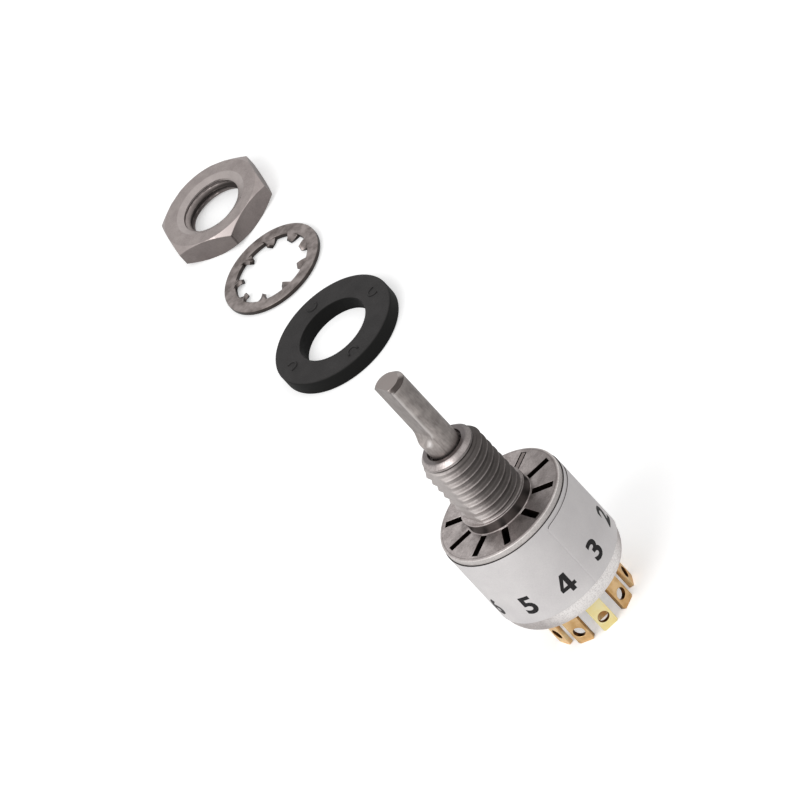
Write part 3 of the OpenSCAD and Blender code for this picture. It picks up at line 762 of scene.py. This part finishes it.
flat_low = shaft_top - flat_length
scoop = [(flat_depth + cutter_r - cutter_r * math.cos(a), flat_low - cutter_r * math.sin(a))
         for a in np.radians(np.arange(0, 91, 5))]
cut_away(shaft, "flat_cutter", [(flat_depth, shaft_top + 1)] + scoop
         + [(cutter_reach, flat_low - cutter_r), (cutter_reach, shaft_top + 1)], flat_angle)
for side in (0, math.pi):
    cut_away(shaft, "drive_cutter", [(drive_half, shaft_bottom - 1), (cutter_reach, shaft_bottom - 1),
                                     (cutter_reach, clip_low), (drive_half, clip_low)], flat_angle + side)
shaft.data.set_sharp_from_angle(angle=math.radians(32))


def distance(tree, place, point):
    """How far a place lies from a point."""
    return add(tree, "ShaderNodeVectorMath", {0: place, 1: point}, operation="DISTANCE").outputs["Value"]


# Ground stainless steel, tarnished: grey brown, with faint streaks along the bar, drawn coarser than the
# grinding left them. The flat is duller, a painted highlight runs along one of its edges, painted shade
# darkens the tip's bevel on one side, and a painted highlight makes a bright spot in the scoop
shaft_steel, tree, shader, place = surface("tarnished_ground_stainless", {"Metallic": 1.0, "Roughness": 0.38})
stretched = add(tree, "ShaderNodeMapping", {"Vector": place, "Scale": (1, 1, 0.2)}).outputs[0]
streak = noise(tree, stretched, 0.16)
cloud = noise(tree, place, 1.1)
tone = add(tree, "ShaderNodeMix", {0: 0.6, 2: streak, 3: cloud}).outputs[0]
offset, from_axis, height = upright(tree, place)

on_bevel = between(tree, height, shaft_top - tip_bevel - 0.03, shaft_top - 0.03, 0.02)
round_part = between(tree, from_axis, shaft_r - tip_bevel - 0.02, shaft_r + 1, 0.03)
# Painted shade on the tip's bevel, on one side
bevel_shade_side = toward(tree, place, flat_angle + math.radians(92))
bevel_shade_side = graded(tree, bevel_shade_side, 0.75, 1.15)
on_flat = between(tree, toward(tree, place, flat_angle), flat_depth - 0.03, flat_depth + 0.03, 0.02)
on_tip = between(tree, height, shaft_top - 0.03, shaft_top + 1, 0.015)
# A painted highlight runs along one edge of the flat
edge_angle = flat_angle + math.acos(flat_depth / shaft_r)
from_edge = distance(tree, offset, (shaft_r * math.cos(edge_angle), shaft_r * math.sin(edge_angle), 0))
flat_span = between(tree, height, flat_low - 0.4, shaft_top - tip_bevel, 0.2)
# A painted highlight in the scoop
scoop_highlight = (-0.95, -1.15, flat_low - 0.9)

colour = layered(tree, shaded(tree, tone, 0.36, 0.64, "#918A87", "#BAB2AE"),
                 ("#3A3432", on_bevel, round_part, bevel_shade_side, 0.92),
                 ("#7F7774", on_flat, 0.45),
                 ("#918986", on_tip),
                 ("#F2EDEA", between(tree, from_edge, -1, 0.14, 0.12), flat_span, 0.5),
                 ("#F6F2F0", between(tree, distance(tree, place, scoop_highlight), -1, 0.28, 0.22), 0.75))
rough = graded(tree, tone, 0.3, 0.7, 0.44, 0.34)
tree.links.new(rough, shader.inputs["Roughness"])
dressed(tree, shader, colour, streak, 0.25, 0.008)
shaft.data.materials.append(shaft_steel)
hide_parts("shaft")
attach(shaft, "rotor")


# ---------------------------------------------------------------------------------------------
# Terminals: ten round the base and one inside their circle, blanked from brass and gold plated. Each
# has a solder lug with cut corners and a hole, and a stem into the base. The ten have a contact pad.
base_bottom, base_top, pad_top = -10.35, -8.05, -7.75
terminal_r, common_out, stem_half, pad_r, pad_taper = 4.05, 2.2, 0.5, 0.65, 0.05
lug_half, lug_thick, lug_edge, lug_cut = 0.825, 0.45, 0.04, 0.16
lug_tip = floor_level / MM
hole_r, hole_up = 0.55, 1.3
hole = [(hole_r * math.cos(a), lug_tip + hole_up + hole_r * math.sin(a))
        for a in np.radians(np.arange(0, 360, 12))]


def plated_brass(name, worn, bright, metallic=1.0):
    """Gold plate on brass: a satin yellow that turns browner in patches, where it is worn or tarnished."""
    material, tree, shader, place = surface(name, {"Metallic": metallic, "Roughness": 0.34})
    wear = noise(tree, place, 0.8)
    dressed(tree, shader, shaded(tree, wear, 0.35, 0.65, worn, bright), wear, 0.25, 0.01)
    return material


# One plate in three copies: pale on lug 4 as painted light, darker on lugs 3 and 5 as painted shade. It is
# browner on the walls of the holes, which stand in shade
gold_plate = plated_brass("gold_plated_brass", "#FFC987", "#FFE3B0", 0.75)
lit_plate_copy = plated_brass("lit_copy_of_gold_plated_brass", "#FFEDA8", "#FFF3BE", 0.4)
shaded_plate_copy = plated_brass("shaded_copy_of_gold_plated_brass", "#D8AF78", "#F2CF9C")
hole_plate = plated_brass("brass_in_the_hole", "#5F3F22", "#7C5730")


def terminal_mesh(name, stem_top, has_pad, plate):
    """A terminal on the axis, facing -Y, from its lug's tip up to stem_top, with or without its pad."""
    side = [(lug_half - lug_cut, lug_tip), (lug_half, lug_tip + lug_cut), (lug_half, base_bottom),
            (stem_half, base_bottom), (stem_half, stem_top)]
    curve = outline_curve([side + [(-x, y) for x, y in side[::-1]], hole])
    curve.extrude = lug_thick / 2 - lug_edge
    curve.bevel_depth = lug_edge
    curve.bevel_resolution = 1
    curve.offset = -lug_edge
    flat = curve_mesh(curve)
    flat.transform(Matrix.Rotation(math.radians(90), 4, "X"))
    metal = bmesh.new()
    metal.from_mesh(flat)
    if has_pad:
        pad_middle = Matrix.Translation((0, 0, (pad_top + base_top) / 2))
        bmesh.ops.create_cone(metal, cap_ends=True, segments=40, radius1=pad_r, radius2=pad_r - pad_taper,
                              depth=pad_top - base_top, matrix=pad_middle)
    bmesh.ops.recalc_face_normals(metal, faces=metal.faces)
    bmesh.ops.scale(metal, vec=(MM, MM, MM), verts=metal.verts)
    result = bpy.data.meshes.new(name)
    metal.to_mesh(result)
    metal.free()
    bpy.data.meshes.remove(flat)
    result.shade_smooth()
    result.set_sharp_from_angle(angle=math.radians(50))
    result.materials.append(plate)
    result.materials.append(hole_plate)
    for face in result.polygons:
        out = math.hypot(face.center.x / MM, face.center.z / MM - lug_tip - hole_up)
        face.material_index = 1 if out < hole_r + 0.01 else 0
    return result


for n in range(1, positions + 1):
    node = "terminal_%d" % n
    # Lug 4 takes the copy painted with light, lugs 3 and 5 the copy painted with shade
    plate = {3: shaded_plate_copy, 4: lit_plate_copy, 5: shaded_plate_copy}.get(n, gold_plate)
    mesh = terminal_mesh(node + "_lug", base_top + 0.01, True, plate)
    mesh.transform(Matrix.Translation((0, -terminal_r * MM, 0)))
    mesh.transform(Matrix.Rotation((4 - n) * math.tau / positions, 4, "Z"))
    lug = placed(node + "_lug", mesh)
    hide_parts(node)
    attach(lug, "root")
mesh = terminal_mesh("common_lug", pad_top, False, gold_plate)
mesh.transform(Matrix.Translation((0, -common_out * MM, 0)))
common_lug = placed("common_lug", mesh)
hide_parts("common_terminal")
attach(common_lug, "root")


# ---------------------------------------------------------------------------------------------
# Panel seal: a flat ring moulded in black rubber, with four small marks of the mould on its face.
low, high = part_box("panel_seal")
seal_middle = (low + high) / 2 / MM
seal_r2 = (high.x - low.x) / 2 / MM
seal_r1, seal_round = 3.57, 0.16
seal_bottom, seal_top = low.z / MM, high.z / MM
seal_rows = rounded([(seal_r1, seal_bottom, 0.05), (seal_r2, seal_bottom, seal_round),
                     (seal_r2, seal_top, seal_round), (seal_r1, seal_top, 0.08)], steps=4, hold=1.0)
seal = lathed("rubber_ring", seal_rows, np.arange(128) * math.tau / 128, (seal_middle.x, seal_middle.y, 0))

# A mark is a low ridge in the shape of a U that opens outwards
mark_r, mark_wire, mark_rise, mark_out, mark_leg, mark_root = 0.5, 0.11, 0.07, 4.95, 0.25, 0.05
spine = [(mark_out + mark_leg, -mark_r)]
spine += [(mark_out - mark_r * math.cos(a), mark_r * math.sin(a)) for a in np.radians(np.arange(-90, 91, 15))]
spine += [(mark_out + mark_leg, mark_r)]
ridge_profile = [(-mark_wire, -mark_root), (-mark_wire, 0), (-mark_wire / 2, mark_rise),
                 (mark_wire / 2, mark_rise), (mark_wire, 0), (mark_wire, -mark_root)]
ridge_points = []
for i, (x, y) in enumerate(spine):
    before, after = Vector(spine[max(i - 1, 0)]), Vector(spine[min(i + 1, len(spine) - 1)])
    ahead = (after - before).normalized()
    ridge_points += [(x - ahead.y * w, y + ahead.x * w, seal_top + h) for w, h in ridge_profile]
mould_mark = piece("mould_mark", ridge_points, capped_faces(len(spine), len(ridge_profile)))

# Moulded rubber: near black and dull, with a fine tooth drawn coarse enough to show, and a slightly greyer
# top face in patches, partly dust and partly painted light that makes the top paler than the sides
rubber, tree, shader, place = surface("moulded_black_rubber", {"Roughness": 0.62, "Specular IOR Level": 0.2})
tooth = noise(tree, place, 0.14)
dust = noise(tree, place, 1.6, 4.0)
tone = add(tree, "ShaderNodeMix", {0: 0.5, 2: dust, 3: tooth}).outputs[0]
# Patchy dust, and painted light that makes the top face paler than the sides
dust_and_top_light = graded(tree, facing_up(tree), 0.5, 0.95)
dust_and_top_light = product(tree, dust_and_top_light, tone)
dressed(tree, shader, shaded(tree, dust_and_top_light, 0, 0.75, "#070706", "#3B3939"), tooth, 0.5, 0.02)

joined_ring, given = node_group("copies_joined_to_a_ring", Copy="Object", Count="Int", First="Float",
                                Centre="Vector", Finish="Material")
both = add(joined_ring, "GeometryNodeJoinGeometry", {0: given["Geometry"]}).outputs[0]
joined_ring.links.new(ring_of_copies(joined_ring, given), both.node.inputs[0])
covered = add(joined_ring, "GeometryNodeSetMaterial", {"Geometry": both, "Material": given["Finish"]})
add(joined_ring, "NodeGroupOutput", {"Geometry": covered.outputs[0]})
run_nodes(seal, joined_ring, Copy=mould_mark, Count=4, Centre=(seal_middle.x * MM, seal_middle.y * MM, 0),
          Finish=rubber)
bpy.data.objects.remove(mould_mark)
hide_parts("panel_seal")
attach(seal, "root")


# ---------------------------------------------------------------------------------------------
# Lock washer: stamped from spring steel and plated, a plain rim with nine teeth inside it. Each
# tooth narrows to its tip and is twisted out of the washer's plane.
low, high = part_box("lock_washer")
washer_middle = (low + high) / 2 / MM
washer_r2 = (high.x - low.x) / 2 / MM
washer_r1, washer_thick, washer_round = washer_r2 - 1.2, 0.45, 0.08
tooth_count, first_tooth, tooth_tip_r, tooth_bury, tooth_steps = 9, math.radians(-13), 3.2, 0.15, 13
tooth_root, tooth_tip, root_flare, flare_fade = 0.62, 0.26, 0.2, 7
tooth_twist, twist_rate, tooth_thinning = math.radians(46), 1.2, 0.12
half_thick = washer_thick / 2
rim_rows = rounded([(washer_r1, -half_thick, 0.05), (washer_r2, -half_thick, 0.06),
                    (washer_r2, half_thick, washer_round), (washer_r1, half_thick, washer_round)], hold=0.8)
washer = lathed("toothed_washer", rim_rows, np.arange(144) * math.tau / 144, washer_middle)

tooth_section = rounded([(1, -1, 0.12), (1, 1, 0.12), (-1, 1, 0.12), (-1, -1, 0.12)], steps=2, hold=0.3)
tooth_points = []
for t in np.linspace(0, 1, tooth_steps):
    out = washer_r1 + tooth_bury + (tooth_tip_r - washer_r1 - tooth_bury) * t
    wide = tooth_root + (tooth_tip - tooth_root) * t + root_flare * math.exp(-flare_fade * t)
    twist = tooth_twist * min(1, twist_rate * t)
    for p in tooth_section:
        y, z = p.x * wide, p.y * half_thick * (1 - tooth_thinning * t)
        tooth_points.append((out, y * math.cos(twist) - z * math.sin(twist),
                             y * math.sin(twist) + z * math.cos(twist)))
tooth = piece("tooth", tooth_points, capped_faces(tooth_steps, len(tooth_section)))

# Nickel plate on spring steel: a warm grey in soft patches, with painted shade that darkens its walls
washer_plate, tree, shader, place = surface("nickel_plated_spring_steel",
                                            {"Metallic": 1.0, "Roughness": 0.36})
patch = noise(tree, place, 0.9, 4.0, 0.6)
# Painted shade on the walls
on_wall = graded(tree, facing_up(tree), 0.2, 0.85, 0.85, 0.0)
colour = layered(tree, shaded(tree, patch, 0.35, 0.65, "#6C6461", "#9A918E"), ("#383331", on_wall))
dressed(tree, shader, colour, patch, 0.4, 0.02)
run_nodes(washer, joined_ring, Copy=tooth, Count=tooth_count, First=first_tooth,
          Centre=tuple(washer_middle * MM), Finish=washer_plate)
bpy.data.objects.remove(tooth)
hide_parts("lock_washer")
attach(washer, "root")


# ---------------------------------------------------------------------------------------------
# Mounting nut: turned from hexagon bar, with bevelled corners and a countersink at each end of its
# thread, tumbled and nickel plated.
low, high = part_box("mounting_nut")
nut_middle = (low + high) / 2 / MM
nut_low, nut_tall = low.z / MM, (high.z - low.z) / MM
nut_half, nut_turn, nut_edge, edge_drop = 5.0, math.radians(-96.4), 0.05, 0.01
nut_face_r, nut_bevel = 5.0, math.tan(math.radians(31))
nut_bore, nut_root, nut_sink, sink_rim = 2.753, 3.14, 3.725, 0.1
sink_depth = (nut_sink - nut_bore) / 2
nut_angles = nut_turn + np.arange(360) * math.tau / 360
off_flat = np.radians(np.mod(np.arange(360), 60) - 30)
hexagon = nut_half / np.cos(off_flat)
drop = np.maximum(0, hexagon - nut_face_r) * nut_bevel
inner = np.minimum(hexagon - nut_edge, nut_face_r)
top = [(inner, nut_tall), (hexagon - nut_edge / 2, nut_tall - drop - edge_drop),
       (hexagon, nut_tall - drop - nut_edge)]
sides = [(hexagon, nut_tall * t) for t in (0.7, 0.3)]
bottom = [(hexagon, drop + nut_edge), (hexagon - nut_edge / 2, drop + edge_drop), (inner, 0)]
thread_rows = []
for z in np.arange(sink_depth, nut_tall - sink_depth + 0.001, row_step):
    cut = thread_cut(nut_angles / math.tau, z, thread_pitch)
    thread_rows.append((nut_bore + (nut_root - nut_bore) * cut, z))
sink_up = [(nut_bore + (nut_sink - nut_bore) * t, nut_tall - sink_depth * (1 - t)) for t in (0.35, 0.7, 1)]
sink_down = [(r, nut_tall - z) for r, z in sink_up[::-1]]
nut_rows = sink_down + thread_rows + sink_up + [(nut_sink + sink_rim, nut_tall)] + top + sides + bottom \
    + [(nut_sink + sink_rim, 0)]
nut = lathed("hexagon_nut", nut_rows, nut_angles, (nut_middle.x, nut_middle.y, nut_low))
nut.data.set_sharp_from_angle(angle=math.radians(22))

# Tumbled nickel plate over turned steel: a mottled warm grey, with painted shade down in the thread and a
# little on the sides, and painted light in the countersink. A painted highlight lies on the bevel by one
# corner, and that corner has a dark line
nut_plate, tree, shader, place = surface("tumbled_nickel_on_steel", {"Metallic": 1.0, "Roughness": 0.4})
tone = mottled(tree, place, 1.1, 5.0, 0.62, 0.14, 2.0)
offset, from_axis, height = upright(tree, place, (nut_middle.x, nut_middle.y))
corner_r = nut_half / math.cos(math.radians(30))
from_corner = distance(tree, offset, (corner_r * math.cos(nut_turn), corner_r * math.sin(nut_turn), 0))

sink_foot = nut_low + nut_tall - sink_depth
# Painted shade down the thread and on its first turn
thread_deep = between(tree, height, nut_low + sink_depth + 0.1, sink_foot - 0.34, 0.14)
first_turn = between(tree, height, sink_foot - 0.09, sink_foot, 0.02)
# Painted light in the countersink
sink_height = between(tree, height, sink_foot - 0.05, nut_low + nut_tall - 0.02, 0.02)
in_bore = between(tree, from_axis, 0, nut_root + 0.05, 0.05)
in_sink = between(tree, from_axis, nut_bore, nut_sink, 0.03)
outside = between(tree, from_axis, nut_sink + 0.3, nut_half * 2, 0.1)
up = facing_up(tree)
# Painted shade on the sides
on_side = graded(tree, up, 0.3, 0.6, 0.45, 0.0)
not_side = graded(tree, up, 0.5, 0.7)
not_top = graded(tree, up, 0.9, 0.97, 1.0, 0.0)
# A painted highlight on the bevel near one corner
near_corner = graded(tree, from_corner, 1.2, 2.6, 0.8, 0.15)

colour = layered(tree, shaded(tree, tone, 0.36, 0.62, "#8E8583", "#A29996"),
                 ("#2E2A28", in_bore, thread_deep, 0.95),
                 ("#CFC7C4", in_sink, sink_height, 0.3),
                 ("#45403D", in_bore, first_turn, 0.8),
                 ("#776F6D", outside, on_side),
                 ("#D8CCC9", outside, not_side, not_top, near_corner),
                 ("#1A1615", between(tree, from_corner, -1, 0.1, 0.03), on_side))
dressed(tree, shader, colour, tone, 0.4, 0.015)
nut.data.materials.append(nut_plate)
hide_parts("mounting_nut")
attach(nut, "root")


# ---------------------------------------------------------------------------------------------
# Mouldings: the base, the sleeve, the rotor hub and the wiper's carrier are thermosets filled with
# mineral. They keep their CAD form, and each gets its own colour of one speckled material.
def moulding(name, dark, light, roughness):
    """A filled thermoset: dull, with fine pale flecks of its filler."""
    material, tree, shader, place = surface(name, {"Roughness": roughness, "IOR": 1.55})
    flecks = noise(tree, place, 0.12)
    dressed(tree, shader, shaded(tree, flecks, 0.4, 0.75, dark, light), flecks, 0.3, 0.01)
    return material


for name, kind, dark, light, roughness in (
        ("terminal_base", "black_filled_thermoset", "#232120", "#3E3A38", 0.5),
        ("spacer_sleeve", "brown_filled_thermoset", "#3B2E22", "#5A4734", 0.55),
        ("rotor_hub", "grey_filled_thermoset", "#4B453F", "#6A625A", 0.5),
        ("contact_carrier", "red_filled_thermoset", "#5C3320", "#834A2E", 0.5)):
    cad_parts[name].data.materials[0] = moulding(kind, dark, light, roughness)


# ---------------------------------------------------------------------------------------------
# Works inside the case: the detent ring and balls, the springs, the clip and the thrust washer are
# hard bright steel, the contacts are gold plated, and the shaft's seal is rubber.
hard_steel, tree, shader, place = surface("polished_hard_steel", {"Metallic": 1.0, "Roughness": 0.22})
grind = noise(tree, place, 0.1)
tree.links.new(shaded(tree, grind, 0, 1, "#A29E9A", "#CFCBC6"), shader.inputs["Base Color"])
for name in ("detent_ring", "thrust_washer", "retaining_ring", "wiper_spring", "detent_spring_1",
             "detent_spring_2", "detent_ball_1", "detent_ball_2"):
    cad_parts[name].data.materials[0] = hard_steel
for name in ("common_contact", "wiper"):
    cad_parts[name].data.materials[0] = gold_plate
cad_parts["shaft_seal"].data.materials[0] = rubber
